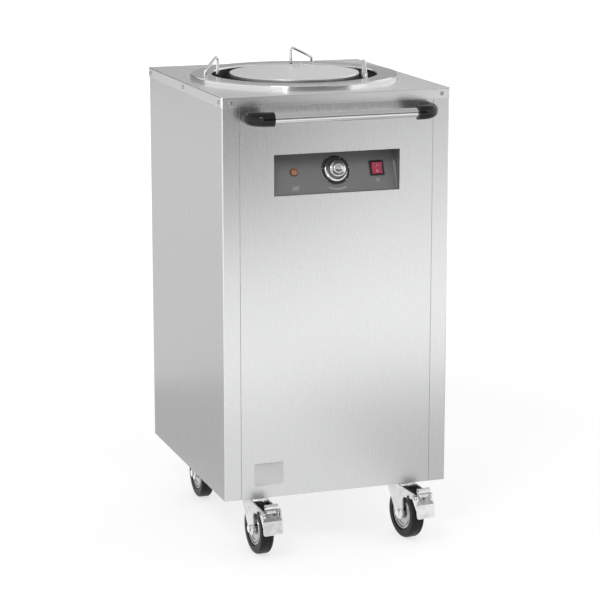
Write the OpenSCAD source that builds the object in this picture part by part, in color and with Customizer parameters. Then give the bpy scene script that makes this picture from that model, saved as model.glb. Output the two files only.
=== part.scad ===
// Mobile heated plate dispenser: a sheet-metal cabinet with one sprung plate well, on four swivel castors.
// Millimetres. The floor is z = 0, +Z is up, and the handle and controls face -Y.

/* [Cabinet] */
// Width over the top panel's skirt
body_w = 450; // [440:5:520]
// Depth over the top panel's skirt
body_d = 500; // [490:5:580]
// Height from the panels' lower edge to the top surface
body_h = 766; // [740:2:840]
// Thickness of the top panel's sheet
top_t = 1.5; // [1:0.1:2]
// Depth of the top panel's folded skirt
skirt_h = 20; // [16:1:30]
// Thickness of the side, front and rear sheets
panel_t = 1; // [0.8:0.1:1.5]
// Width of the strip that each side panel turns round a corner
return_w = 33; // [30:1:40]
// Gap of the seam between a side panel and the front or rear panel
seam_gap = 0.6; // [0.4:0.1:1.5]
// Width of the panels' folded inner edges
lip_w = 12; // [8:1:14]
// Outer radius of the sheet folds
fold_r = 2.5; // [2:0.1:4]
// Drop of the panels' lower edge below the base tray
panel_drop = 4; // [3:0.5:8]
// Leg length of the corner posts
post_leg = 25; // [20:1:28]
// Thickness of the posts and the base tray
frame_t = 2; // [1.5:0.1:3]

/* [Plate well] */
// Radius of the round opening in the trim ring
well_r = 160.5; // [150:0.5:165]
// Outer radius of the trim ring
ring_r = 202; // [196:1:212]
// Height of the trim ring above the top surface
ring_h = 8; // [6:0.5:12]
// Thickness of the trim ring's and the well tube's sheet
ring_t = 1.2; // [0.8:0.1:1.5]
// Height of the well floor above the ground
floor_z = 165; // [155:1:185]
// Width of the three vertical slots in the well tube
slot_w = 14; // [12:0.5:18]
// Radius of the plate carrier's disc
disc_r = 126; // [110:1:132]
// Height of the disc above the top surface with no plates on it
disc_rise = 10; // [4:1:20]
// Distance from the disc down to the spider's arms
spider_drop = 190; // [170:1:210]
// Height of the slots' closed lower ends above the tube's lower edge
slot_foot = 27; // [20:1:40]

/* [Plate guides] */
// Diameter of the bent guide rods
rod_d = 6; // [5:0.5:7]
// Distance of the guides' pivots from the well's axis
pivot_r = 180; // [178:1:184]
// Distance between a guide's pivot and its inner leg
guide_arm = 50; // [44:1:54]
// Swing of each guide away from the well's axis
guide_swing = 45; // [40:1:50]
// Height of the guides' bent tops above the trim ring
guide_rise = 35; // [28:1:45]
// Height of the guides' outer knees above the trim ring
knee_rise = 11; // [9:1:16]

/* [Controls] */
// Width of the control recess
control_w = 248; // [236:2:280]
// Height of the control recess
control_h = 77; // [70:1:90]
// Distance from the top surface down to the recess
control_drop = 111; // [100:1:130]
// Depth of the recess at its upper edge
recess_top = 42; // [36:1:46]
// Depth of the recess at its lower edge
recess_bottom = 9; // [7:1:14]
// Thickness of the fascia's sheet
fascia_t = 1.2; // [1:0.1:2]
// Diameter of the thermostat knob
knob_d = 45; // [38:1:50]
// Diameter of the dial plate behind the knob
dial_d = 57; // [52:1:64]
// Place of the thermostat knob across the fascia
knob_x = 5; // [-10:1:15]
// Distance of the indicator lamp from the recess's left end
lamp_in = 47; // [34:1:60]
// Distance of the rocker switch from the recess's right end
switch_in = 37; // [30:1:45]
// Width of the switch's bezel
switch_w = 28; // [26:1:32]
// Height of the switch's bezel
switch_h = 29; // [28:1:34]

/* [Handle] */
// Diameter of the handle tube
grip_d = 18; // [16:1:20]
// Distance from the cabinet's front to the handle tube's axis
handle_out = 45; // [40:1:60]
// Distance from the top surface down to the handle tube's axis
handle_drop = 38; // [36:1:50]
// Distance from the front panel's side edges to the middle of each bracket's foot
bracket_in = 13.9; // [13.9:0.1:24]
// Diameter of the moulded brackets
bracket_d = 27; // [25:0.5:27]
// Radius of the brackets' bend
bracket_bend = 28; // [24:1:31]
// Length of a bracket's straight end on the tube
bracket_end = 8; // [6:1:20]

/* [Castors] */
// Height of a castor from the floor to the top of its plate
castor_h = 120; // [118:1:126]
// Diameter of the wheels
wheel_d = 100; // [94:1:100]
// Width of the tyres
tyre_w = 26; // [24:1:30]
// Thickness of the tyres from the rim to the tread
tyre_depth = 18; // [15:0.5:20]
// Horizontal distance from a swivel's axis to its axle
trail = 35; // [32:1:38]
// Distance of the swivel axes from the cabinet's sides
castor_in_x = 75; // [73:1:95]
// Distance of the swivel axes from the cabinet's front and rear
castor_in_y = 60; // [60:1:90]
// Width of a castor's plate
castor_plate_w = 90; // [86:1:96]
// Depth of a castor's plate
castor_plate_d = 76; // [72:1:80]
// Thickness of a castor's plate and of its fork's sheet
castor_t = 2.5; // [2:0.1:3]

/* [Hidden] */
$fn = 64;

// Clearances: fit holds a fixed piece, run lets a shaft turn, gap keeps moving faces apart
fit = 0.05;
run = 0.05;
gap = 0.3;

// Where a straight rod meets a bend, it runs a weld's length into it, and the bend stands proud by a hair
weld = 0.2;
proud = 0.01;

// Finishes
steel = [0.80, 0.80, 0.79];
bright = [0.90, 0.90, 0.91];
zinc = [0.72, 0.73, 0.74];
grey = [0.36, 0.37, 0.38];
black = [0.07, 0.07, 0.07];
rubber = [0.12, 0.12, 0.12];
copper = [0.72, 0.45, 0.30];
nylon = [0.93, 0.92, 0.88];
amber = [0.93, 0.47, 0.10];
red = [0.80, 0.06, 0.08];

// Cabinet levels and faces
panel_z = castor_h - panel_drop;
top_z = panel_z + body_h;
face_x = body_w / 2 - top_t;
face_y = body_d / 2 - top_t;
fold_in = max(0.2, fold_r - top_t);
sheet_z = top_z - top_t;
panel_top = sheet_z - fold_in;
opening_w = 2 * (face_x - return_w - seam_gap);
tray_top = castor_h + frame_t;
tray_x = face_x - panel_t - gap;
tray_y = face_y - lip_w - 1;
tray_flange = 22;
tray_notch = 42;
post_x = face_x - panel_t - fit;
post_y = face_y - panel_t - fit;

// Skirt screws
screw_r = 1.95;
screw_head_r = 4;
screw_head_h = 2;
screw_drop = 11;
screw_side_y = body_d / 2 - 15;
screw_front_x = body_w / 2 - 18;

// Louvres in the rear panel
louvre_w = 60;
louvre_h = 5;
louvre_pitch = 16;
louvre_rows = 5;
louvre_z = panel_z + 190;

// Well
tube_in = well_r + ring_t + gap;
tube_out = tube_in + ring_t;
tube_z = floor_z + 32;
lip_drop = 14;
disc_top = top_z + disc_rise;
disc_t = 2;
disc_rim = 7;
arm_t = 3;
arm_w = 12;
arm_z = disc_top - spider_drop;
slot_top = arm_z + 16;
slot_bottom = tube_z + slot_foot;
upright_r = 95;
upright_w = 22;
slider_h = 16;
bar_r = pivot_r - 2;
bar_half = 30;
spring_side = 22;
spring_r = 6;
hook_r = 1;
eye_r = 1.4;
button_r = 3;
button_h = 1.5;
hanger_drop = 22;
hanger_t = 2;
hanger_z = sheet_z - hanger_drop;
floor_t = 1.2;
floor_r = tube_out + 9;
floor_rim = 15;
floor_leg_r = 8;
ear_w = 24;
heater_r = 105;
heater_tube = 4.25;
heater_z = floor_z + floor_t + 18;
heater_gap = 24;
heater_drop = 16;
heater_stud = 10;
heater_stud_r = 1.6;
slot_angles = [0, 120, 240];
brace_angles = [90, 210, 330];

// Guides: each swings about its outer foot, which stands in a bush in the trim ring
rod_r = rod_d / 2;
rod_bend = rod_d;
guide_top = top_z + ring_h + guide_rise;
knee_z = top_z + ring_h + knee_rise;
crank_z = floor_z + floor_t + floor_rim + rod_r + 2;
bush_r = rod_r + 2;
bush_flange_r = rod_r + 3.5;
bush_flange_t = 1.2;
guide_foot = 12;
upper_bush_len = 26;
lower_bush_len = 9;
guide_angles = [180, 300, 60];
guide_swings = [guide_swing, -guide_swing, -guide_swing];

// Control recess: the fascia slopes back towards its upper edge
recess_z1 = top_z - control_drop;
recess_z0 = recess_z1 - control_h;
fascia_tilt = atan2(recess_top - recess_bottom, control_h);
fascia_y = -face_y + (recess_top + recess_bottom) / 2;
fascia_z = (recess_z0 + recess_z1) / 2;
fascia_flange = 10;
lamp_x = lamp_in - control_w / 2;
switch_x = control_w / 2 - switch_in;
shaft_r = 3;
dial_t = 1.2;
knob_flange = 3.5;
knob_grip = 16.2;
knob_button = 10.5;
stat_w = 42;
stat_h = 32;
stat_d = 24;
lamp_r = 7.5;
lamp_barrel_r = 5.5;
lamp_depth = 22;
rocker_w = switch_w - 8;
rocker_h = switch_h - 6;
switch_depth = 22;
rocker_tilt = 8;
rocker_pivot = -3;
bulb_r = 3;
bulb_len = 100;
bulb_z = recess_z0 - 200;
sleeve_t = 1;
capillary_turn = 40;

// Handle
grip_r = grip_d / 2;
bracket_r = bracket_d / 2;
grip_y = -body_d / 2 - handle_out;
grip_z = top_z - handle_drop;
grip_seat = 20;
bracket_x = opening_w / 2 - bracket_in;
grip_len = 2 * (bracket_x - bracket_bend - bracket_end);
handle_bolt_r = 3;
handle_bolt_in = 13;
handle_bolt_len = 14;
handle_nut_r = 5.8;
handle_nut_h = 4;

// Castors: local frame on the swivel's axis, with the wheel trailing towards -Y
castor_x = body_w / 2 - castor_in_x;
castor_y = body_d / 2 - castor_in_y;
wheel_r = wheel_d / 2;
hub_r = wheel_r - tyre_depth;
tyre_shoulder = 6;
axle_r = 4;
fork_in = tyre_w / 2 + 1.5;
fork_out = fork_in + castor_t;
plate_z = castor_h - castor_t;
race_r = 29;
race_z = plate_z - 6;
crown_r = 31;
crown_z = race_z - gap - 6;
kingpin_r = 6;
castor_bolt_r = 4;
castor_bolt_x = castor_plate_w / 2 - 10;
castor_bolt_y = castor_plate_d / 2 - 10;
axle_boss_r = 13;
arm_corner = 8;
pedal_t = 2;
pedal_in = fork_out + gap;
pedal_out = pedal_in + pedal_t;
pedal_neck = 12.5;
pedal_pivot = [-trail - wheel_r - 9, plate_z - 20];
pedal_tube_r = 4.5;
pedal_pin_r = 3;
pedal_boss_r = 5;
pedal_press = 17;
cam_r = 3;
// Each castor's place, its turn about the swivel and whether it has a brake
castor_fl = [-castor_x, -castor_y, 3];
castor_fr = [castor_x, -castor_y, 8];
castor_rl = [-castor_x, castor_y, 0];
castor_rr = [castor_x, castor_y, 4];
castors = [castor_fl, castor_fr, castor_rl, castor_rr];

// Cable gland on the rear panel
gland_in = 85;
gland_x = gland_in - body_w / 2;
gland_z = panel_z + 60;
gland_r = 9;
gland_bore_r = 4.5;
gland_out = 24;

// The origin lies midway between the handle's and the gland's ends
front_reach = body_d / 2 + handle_out + bracket_r;
rear_reach = face_y + gland_out;
cabinet_y = (front_reach - rear_reach) / 2;

// ---------- helpers ----------

module at_cabinet() {
    translate([0, cabinet_y, 0]) children();
}

// A place and a turn on a circle round the well's axis
module around(angle, r) {
    rotate([0, 0, angle]) translate([r, 0, 0]) children();
}

// The fascia's own frame: its middle, with +Z square out of it
module at_fascia(x = 0) {
    translate([x, fascia_y, fascia_z]) rotate([90 - fascia_tilt, 0, 0]) children();
}

module at_castor(place) {
    translate([place[0], place[1], 0]) rotate([0, 0, place[2]]) children();
}

// Extrudes a (y, z) outline along X, between -half and half
module across(half) {
    translate([-half, 0, 0]) rotate([90, 0, 90]) linear_extrude(2 * half) children();
}

// Extrudes a (y, z) outline along X, from x to x + w
module slab(x, w) {
    translate([x, 0, 0]) rotate([90, 0, 90]) linear_extrude(w) children();
}

module rounded_rect(w, d, r) {
    square([w - 2 * r, d], center = true);
    square([w, d - 2 * r], center = true);
    for (x = [-1, 1], y = [-1, 1])
        translate([x * (w / 2 - r), y * (d / 2 - r)]) circle(r);
}

// A strip of thickness t from p to q with round ends
module strip(p, q, t) {
    run_of = q - p;
    translate(p) rotate(atan2(run_of[1], run_of[0])) translate([0, -t / 2]) square([norm(run_of), t]);
    translate(p) circle(t / 2);
    translate(q) circle(t / 2);
}

// A round rod from p to q
module rod(p, q, r) {
    run_of = q - p;
    translate(p)
        rotate([0, acos(run_of[2] / norm(run_of)), atan2(run_of[1], run_of[0])])
            cylinder(h = norm(run_of), r = r, $fn = 32);
}

function unit(v) = v / norm(v);

function turn_at(a, b, c) = acos(max(-1, min(1, unit(b - a) * unit(c - b))));

// A quarter or smaller bend at b, on the way from a to c, for a rod of radius r bent round bend
module elbow(a, b, c, r, bend) {
    along = unit(b - a);
    onward = unit(c - b);
    angle = turn_at(a, b, c);
    out = -unit(onward - (onward * along) * along);
    side = cross(out, along);
    centre = b - along * bend * tan(angle / 2) - out * bend;
    multmatrix([
        [out[0], along[0], side[0], centre[0]],
        [out[1], along[1], side[1], centre[1]],
        [out[2], along[2], side[2], centre[2]],
        [0, 0, 0, 1]
    ]) rotate_extrude(angle = angle, $fn = 48) translate([bend, 0]) circle(r + proud, $fn = 32);
}

// A bent wire or rod through a list of points, with every corner rounded
module wire(points, r, bend) {
    last = len(points) - 1;
    cut = [
        for (i = [0 : last])
            i == 0 || i == last
                ? 0
                : bend * tan(turn_at(points[i - 1], points[i], points[i + 1]) / 2) - weld
    ];
    for (i = [0 : last - 1]) {
        along = unit(points[i + 1] - points[i]);
        rod(points[i] + along * cut[i], points[i + 1] - along * cut[i + 1], r);
    }
    for (i = [1 : 1 : last - 1]) elbow(points[i - 1], points[i], points[i + 1], r, bend);
}

module hex(r, h) {
    cylinder(h = h, r = r, $fn = 6);
}

function polar(angle, r) = [r * cos(angle), r * sin(angle)];

// The angle at which a line from p touches the circle at c, on the left (1) or the right (-1)
function touch(p, c, r, side) = atan2(p[1] - c[1], p[0] - c[0]) + side * acos(r / norm(p - c));

// Points on the circle at c, from one angle to another
function arc(c, r, from, to, steps = 12) = [for (i = [0 : steps]) c + polar(from + (to - from) * i / steps, r)];

// ---------- cabinet shell ----------

module skirt_screw_axes() {
    for (x = [-1, 1], y = [-1, 0, 1])
        translate([x * body_w / 2, y * screw_side_y, top_z - screw_drop]) rotate([0, x * 90, 0]) children();
    for (x = [-1, 1], y = [-1, 1])
        translate([x * screw_front_x, y * body_d / 2, top_z - screw_drop]) rotate([-y * 90, 0, 0]) children();
}

module screw_holes() {
    skirt_screw_axes() translate([0, 0, -12]) cylinder(h = 14, r = screw_r + fit);
}

// An outline w wide and h high with rounded upper corners, standing on the X axis
module folded_outline(w, h, r) {
    translate([-w / 2, 0]) square([w, h - r]);
    translate([r - w / 2, 0]) square([w - 2 * r, h]);
    for (x = [-1, 1]) translate([x * (w / 2 - r), h - r]) circle(r);
}

// A block with rounded upright corners and rounded upper edges, as a folded lid has
module folded_block(w, d, h, corner, edge) {
    intersection() {
        linear_extrude(h) rounded_rect(w, d, corner);
        translate([0, d, 0]) rotate([90, 0, 0]) linear_extrude(2 * d) folded_outline(w, h, edge);
        across(w) folded_outline(d, h, edge);
    }
}

module top_panel() {
    color(steel) at_cabinet() difference() {
        translate([0, 0, top_z - skirt_h]) folded_block(body_w, body_d, skirt_h, fold_r + top_t, fold_r);
        translate([0, 0, top_z - skirt_h - 1])
            folded_block(body_w - 2 * top_t, body_d - 2 * top_t, skirt_h - top_t + 1, fold_r, fold_in);
        translate([0, 0, top_z - 5]) cylinder(h = 10, r = tube_out + fit, $fn = 96);
        for (angle = guide_angles) around(angle, pivot_r) translate([0, 0, top_z - 5])
            cylinder(h = 10, r = bush_r + fit);
        screw_holes();
    }
}

// Half of the rounded box that the four panels share, as a (x, y) outline
module side_outline() {
    intersection() {
        difference() {
            rounded_rect(2 * face_x, 2 * face_y, fold_r);
            rounded_rect(2 * (face_x - panel_t), 2 * (face_y - panel_t), fold_r - panel_t);
        }
        translate([-face_x, -face_y]) square([return_w, 2 * face_y]);
    }
    for (y = [-face_y, face_y - lip_w])
        translate([-face_x + return_w - panel_t, y]) square([panel_t, lip_w]);
}

module side_panel() {
    difference() {
        union() {
            translate([0, 0, panel_z]) linear_extrude(panel_top - panel_z) side_outline();
            translate([-face_x + panel_t / 2, -face_y + panel_t / 2, panel_z])
                cube([lip_w, 2 * face_y - panel_t, panel_t]);
        }
        screw_holes();
    }
}

module left_side_panel() {
    color(steel) at_cabinet() side_panel();
}

module right_side_panel() {
    color(steel) at_cabinet() mirror([1, 0, 0]) side_panel();
}

// A flat panel with folded edges, standing in the -Y face
module flat_panel() {
    translate([-opening_w / 2, -face_y, panel_z]) cube([opening_w, panel_t, panel_top - panel_z]);
    for (x = [-opening_w / 2, opening_w / 2 - panel_t])
        translate([x, -face_y, panel_z]) cube([panel_t, lip_w, panel_top - panel_z]);
    translate([-opening_w / 2, -face_y, panel_z]) cube([opening_w, lip_w, panel_t]);
}

module front_panel() {
    color(steel) at_cabinet() difference() {
        flat_panel();
        translate([-control_w / 2, -face_y - 5, recess_z0]) cube([control_w, lip_w, control_h]);
        for (x = [-1, 1])
            translate([x * bracket_x, -face_y + 5, grip_z]) rotate([90, 0, 0])
                cylinder(h = 10, r = handle_bolt_r + fit);
    }
}

// A louvre is a pressed hood over a slot
module louvre_hood() {
    rotate([0, 90, 0]) difference() {
        cylinder(h = louvre_w, r = louvre_h + panel_t, center = true);
        cylinder(h = louvre_w - 2 * panel_t, r = louvre_h, center = true);
        translate([0, -louvre_h, -louvre_w]) cube([2 * louvre_h, 2 * louvre_h, 2 * louvre_w]);
    }
}

module rear_panel() {
    hood_side = face_y - panel_t;
    color(steel) at_cabinet() {
        difference() {
            rotate([0, 0, 180]) flat_panel();
            for (x = [-1, 1], row = [0 : louvre_rows - 1])
                translate([x * louvre_w, face_y - panel_t / 2, louvre_z + row * louvre_pitch])
                    cube([louvre_w - 2 * panel_t, 3 * panel_t, 2 * louvre_h - 2], center = true);
            translate([gland_x, face_y - 5, gland_z]) rotate([-90, 0, 0]) cylinder(h = 10, r = gland_r + fit);
        }
        for (x = [-1, 1], row = [0 : louvre_rows - 1]) intersection() {
            translate([x * louvre_w, face_y - panel_t, louvre_z + row * louvre_pitch]) louvre_hood();
            translate([x * louvre_w, face_y + 10 - panel_t / 2, louvre_z + row * louvre_pitch])
                cube([2 * louvre_w, 20, 4 * louvre_h], center = true);
        }
    }
}

module base_tray() {
    color(zinc) at_cabinet() difference() {
        union() {
            translate([-tray_x, -tray_y, castor_h]) cube([2 * tray_x, 2 * tray_y, frame_t]);
            for (y = [-tray_y, tray_y - frame_t])
                translate([-tray_x + tray_notch, y, castor_h])
                    cube([2 * (tray_x - tray_notch), frame_t, tray_flange]);
            for (x = [-tray_x, tray_x - frame_t])
                translate([x, -tray_y + tray_notch, castor_h])
                    cube([frame_t, 2 * (tray_y - tray_notch), tray_flange]);
        }
        for (place = castors, x = [-1, 1], y = [-1, 1])
            translate([place[0] + x * castor_bolt_x, place[1] + y * castor_bolt_y, castor_h - 5])
                cylinder(h = 12, r = castor_bolt_r + fit);
        translate([0, 0, castor_h - 5]) cylinder(h = 12, r = 60);
    }
}

module corner_posts() {
    color(zinc) at_cabinet() difference() {
        for (x = [0, 1], y = [0, 1]) mirror([x, 0, 0]) mirror([0, y, 0])
            translate([-post_x, -post_y, tray_top]) difference() {
                cube([post_leg, post_leg, sheet_z - tray_top]);
                translate([frame_t, frame_t, -1]) cube([post_leg, post_leg, body_h]);
            }
        screw_holes();
        translate([0, 0, tray_top - 1]) linear_extrude(body_h) difference() {
            square([body_w, body_d], center = true);
            rounded_rect(2 * post_x, 2 * post_y, fold_r);
        }
    }
}

module panel_screws() {
    color(bright) at_cabinet() skirt_screw_axes() {
        translate([0, 0, -8]) cylinder(h = 8, r = screw_r);
        intersection() {
            cylinder(h = screw_head_h, r = screw_head_r);
            translate([0, 0, screw_head_h - 2 * screw_head_r]) sphere(2 * screw_head_r);
        }
    }
}

// ---------- plate well ----------

// Section of the trim ring's outer skin as (r, z), open below
module ring_skin(inset) {
    edge = 3 - inset;
    inner = well_r + inset;
    outer = ring_r - inset;
    crest = ring_h - inset;
    translate([inner, -1]) square([outer - inner, crest - edge + 1]);
    translate([inner + edge, 0]) square([outer - inner - 2 * edge, crest]);
    for (r = [inner + edge, outer - edge]) translate([r, crest - edge]) circle(edge);
}

module ring_section() {
    difference() {
        ring_skin(0);
        ring_skin(ring_t);
        translate([well_r - 5, -5]) square([ring_r - well_r + 10, 5]);
    }
    translate([well_r, -lip_drop]) square([ring_t, lip_drop + 2]);
}

module well_ring() {
    color(bright) at_cabinet() difference() {
        translate([0, 0, top_z]) rotate_extrude($fn = 128) ring_section();
        for (angle = guide_angles) around(angle, pivot_r) translate([0, 0, top_z - 5])
            cylinder(h = ring_h + 10, r = bush_r + fit);
    }
}

module well_tube() {
    flange_r = pivot_r - bush_r - 3;
    color(steel) at_cabinet() difference() {
        union() {
            translate([0, 0, tube_z]) cylinder(h = top_z - tube_z, r = tube_out, $fn = 96);
            translate([0, 0, top_z]) cylinder(h = 1, r = flange_r, $fn = 96);
            around(-90, tube_out + bulb_r) translate([0, 0, bulb_z]) cylinder(h = bulb_len, r = bulb_r + sleeve_t);
            for (angle = brace_angles) around(angle, tube_out) translate([-0.6, -10, floor_z + floor_t])
                cube([3, 20, tube_z - floor_z + 10]);
        }
        translate([0, 0, floor_z - 5]) cylinder(h = body_h, r = tube_in, $fn = 96);
        around(-90, tube_out + bulb_r) translate([0, 0, bulb_z - 1]) cylinder(h = bulb_len + 2, r = bulb_r + fit);
        for (angle = slot_angles) around(angle, tube_in) translate([-5, -slot_w / 2, slot_bottom])
            cube([10, slot_w, slot_top - slot_bottom]);
    }
}

module well_floor() {
    color(steel) at_cabinet() difference() {
        union() {
            translate([0, 0, floor_z]) difference() {
                cylinder(h = floor_t + floor_rim, r = floor_r, $fn = 96);
                translate([0, 0, floor_t]) cylinder(h = floor_rim + 1, r = floor_r - floor_t, $fn = 96);
            }
            for (angle = guide_angles) around(angle, floor_r) translate([-floor_t, -ear_w / 2, floor_z])
                cube([pivot_r - floor_r + ear_w / 2 + floor_t, ear_w, floor_t]);
            for (angle = brace_angles) around(angle, floor_r - 2 * floor_leg_r)
                translate([0, 0, tray_top]) cylinder(h = floor_z + floor_t - tray_top, r = floor_leg_r);
        }
        for (angle = guide_angles) around(angle, pivot_r) translate([0, 0, floor_z - 5])
            cylinder(h = 15, r = bush_r + fit);
        for (side = [-1, 1]) translate(concat(heater_end(side), floor_z - 5)) cylinder(h = 15, r = heater_tube + fit);
        for (angle = [0 : 30 : 359]) around(angle, heater_r - 35) translate([0, 0, floor_z - 5])
            cylinder(h = 15, r = 6);
    }
}

// Where the heater's two ends turn down through the floor, as (x, y)
function heater_end(side) = polar(-90 + side * asin(heater_gap / 2 / heater_r), heater_r);

module heater_element() {
    half_open = asin(heater_gap / 2 / heater_r);
    color(grey) at_cabinet() {
        translate([0, 0, heater_z]) rotate([0, 0, -90 + half_open]) rotate_extrude(angle = 360 - 2 * half_open, $fn = 96)
            translate([heater_r, 0]) circle(heater_tube, $fn = 24);
        for (side = [-1, 1]) translate(concat(heater_end(side), 0)) {
            translate([0, 0, heater_z]) sphere(heater_tube + fit, $fn = 24);
            translate([0, 0, floor_z - heater_drop])
                cylinder(h = heater_z - floor_z + heater_drop, r = heater_tube, $fn = 24);
            translate([0, 0, floor_z - heater_drop - heater_stud])
                cylinder(h = heater_stud + 2, r = heater_stud_r, $fn = 24);
        }
    }
}

module heater_clips() {
    foot = 12;
    color(zinc) at_cabinet() difference() {
        for (angle = brace_angles) around(angle + 30, heater_r)
            translate([-foot / 2, -4, floor_z + floor_t]) cube([foot, 8, heater_z - floor_z - floor_t]);
        translate([0, 0, heater_z]) rotate_extrude($fn = 96) translate([heater_r, 0]) circle(heater_tube + fit, $fn = 24);
    }
}

module bush(len, flange_z) {
    difference() {
        union() {
            cylinder(h = len, r = bush_r);
            translate([0, 0, flange_z]) cylinder(h = bush_flange_t, r = bush_flange_r);
        }
        translate([0, 0, -1]) cylinder(h = len + 5, r = rod_r + run);
    }
}

module guide_bushes() {
    color(nylon) at_cabinet() for (angle = guide_angles) around(angle, pivot_r) {
        translate([0, 0, top_z + ring_h - upper_bush_len]) bush(upper_bush_len, upper_bush_len);
        translate([0, 0, floor_z + floor_t - lower_bush_len]) bush(lower_bush_len, lower_bush_len);
    }
}

// The rod runs up the well inside the plate stack's guard, over the ring and down into its bush
module guide(index) {
    angle = guide_angles[index];
    pivot = polar(angle, pivot_r);
    inner = pivot + polar(angle + 180 + guide_swings[index], guide_arm);
    color(bright) at_cabinet() wire([
        concat(pivot, floor_z - 4),
        concat(pivot, crank_z),
        concat(inner, crank_z),
        concat(inner, guide_top),
        concat(pivot, knee_z),
        concat(pivot, top_z - guide_foot)
    ], rod_r, rod_bend);
}

module guide_left() {
    guide(0);
}

module guide_right() {
    guide(1);
}

module guide_back() {
    guide(2);
}

module carrier_disc() {
    color(bright) at_cabinet() translate([0, 0, disc_top]) rotate_extrude($fn = 128) {
        translate([0, -disc_t]) square([disc_r - 2, disc_t]);
        translate([disc_r - disc_t, -disc_rim]) square([disc_t, disc_rim - 2]);
        translate([disc_r - 2, -2]) intersection() {
            circle(2);
            square(2);
        }
    }
}

module spider_arm() {
    translate([30, -arm_w / 2, arm_z]) cube([bar_r + 6 - 30, arm_w, arm_t]);
    translate([bar_r - 6, -bar_half, arm_z]) cube([12, 2 * bar_half, arm_t]);
}

module carrier_spider() {
    color(zinc) at_cabinet() difference() {
        union() {
            translate([0, 0, arm_z]) cylinder(h = arm_t, r = upright_r + 8);
            for (angle = slot_angles) rotate([0, 0, angle]) {
                spider_arm();
                translate([upright_r - arm_t, -upright_w / 2, arm_z])
                    cube([arm_t, upright_w, disc_top - disc_t - arm_z]);
                translate([upright_r - 20, -upright_w / 2, disc_top - disc_t - arm_t])
                    cube([20, upright_w, arm_t]);
            }
        }
        translate([0, 0, arm_z - 1]) cylinder(h = arm_t + 2, r = upright_r - 25);
        for (angle = slot_angles, side = [-1, 1]) rotate([0, 0, angle])
            translate([bar_r, side * spring_side, arm_z - 1]) cylinder(h = arm_t + 2, r = eye_r, $fn = 24);
    }
}

module slot_sliders() {
    color(nylon) at_cabinet() for (angle = slot_angles) rotate([0, 0, angle])
        translate([0, 0, arm_z + arm_t / 2 - slider_h / 2]) difference() {
            union() {
                translate([tube_in - 6, -slot_w / 2 + gap, 0]) cube([12, slot_w - 2 * gap, slider_h]);
                translate([tube_in - 6, -10, 0]) cube([5, 20, slider_h]);
                translate([tube_out + 2 * gap, -10, 0]) cube([4, 20, slider_h]);
            }
            translate([tube_in - 10, -arm_w / 2, slider_h / 2 - arm_t / 2]) cube([30, arm_w, arm_t]);
        }
}

module spring_hangers() {
    color(zinc) at_cabinet() for (angle = slot_angles) rotate([0, 0, angle]) difference() {
        union() {
            translate([bar_r - 6, -bar_half, hanger_z]) cube([16, 2 * bar_half, hanger_t]);
            translate([bar_r + 10 - hanger_t, -bar_half, hanger_z]) cube([hanger_t, 2 * bar_half, hanger_drop]);
            translate([bar_r, -bar_half, sheet_z - hanger_t]) cube([10, 2 * bar_half, hanger_t]);
        }
        for (side = [-1, 1])
            translate([bar_r, side * spring_side, hanger_z - 1]) cylinder(h = 5, r = eye_r, $fn = 24);
    }
}

// Tension springs, each with a button at either end that seats on its eye
module lift_springs() {
    low = arm_z - button_h;
    high = hanger_z + hanger_t + button_h;
    color(zinc) at_cabinet() for (angle = slot_angles, side = [-1, 1])
        rotate([0, 0, angle]) translate([bar_r, side * spring_side, 0]) {
            translate([0, 0, arm_z + arm_t + 10])
                cylinder(h = hanger_z - arm_z - arm_t - 20, r = spring_r, $fn = 32);
            translate([0, 0, low]) cylinder(h = high - low, r = hook_r, $fn = 24);
            translate([0, 0, low]) cylinder(h = button_h, r = button_r, $fn = 24);
            translate([0, 0, high - button_h]) cylinder(h = button_h, r = button_r, $fn = 24);
        }
}

// ---------- controls ----------

// The recess as a (y, z) outline: its hollow, or with t its outside
module recess_outline(t) {
    slope_t = t / cos(fascia_tilt);
    polygon([
        [-face_y + panel_t, recess_z0 - t],
        [-face_y + panel_t, recess_z1 + t],
        [-face_y + recess_top + slope_t, recess_z1 + t],
        [-face_y + recess_bottom + slope_t, recess_z0 - t]
    ]);
}

module control_fascia() {
    color(grey) at_cabinet() difference() {
        union() {
            across(control_w / 2 + fascia_t) recess_outline(fascia_t);
            translate([-control_w / 2 - fascia_flange, -face_y + panel_t, recess_z0 - fascia_flange])
                cube([control_w + 2 * fascia_flange, fascia_t, control_h + 2 * fascia_flange]);
        }
        across(control_w / 2) recess_outline(0);
        at_fascia(knob_x) translate([0, 0, -5]) cylinder(h = 10, r = shaft_r + 1);
        at_fascia(lamp_x) translate([0, 0, -5]) cylinder(h = 10, r = lamp_barrel_r + fit);
        at_fascia(switch_x) cube([switch_w - 4, switch_h - 4, 10], center = true);
    }
}

module thermostat_body() {
    color(zinc) at_cabinet() at_fascia(knob_x) translate([0, 0, -fascia_t - fit]) difference() {
        union() {
            translate([-stat_w / 2, -stat_h / 2, -stat_d]) cube([stat_w, stat_h, stat_d - 3]);
            translate([0, 0, -4]) cylinder(h = 4, r = 8);
            for (x = [-1, 1]) translate([x * 14 - 3, -8, -stat_d - 8]) cube([6, 1, 10]);
        }
        translate([0, 0, -16]) cylinder(h = 20, r = shaft_r + run);
    }
}

module thermostat_shaft() {
    color(bright) at_cabinet() at_fascia(knob_x) translate([0, 0, -fascia_t - 14])
        cylinder(h = fascia_t + 14 + 12, r = shaft_r);
}

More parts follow.
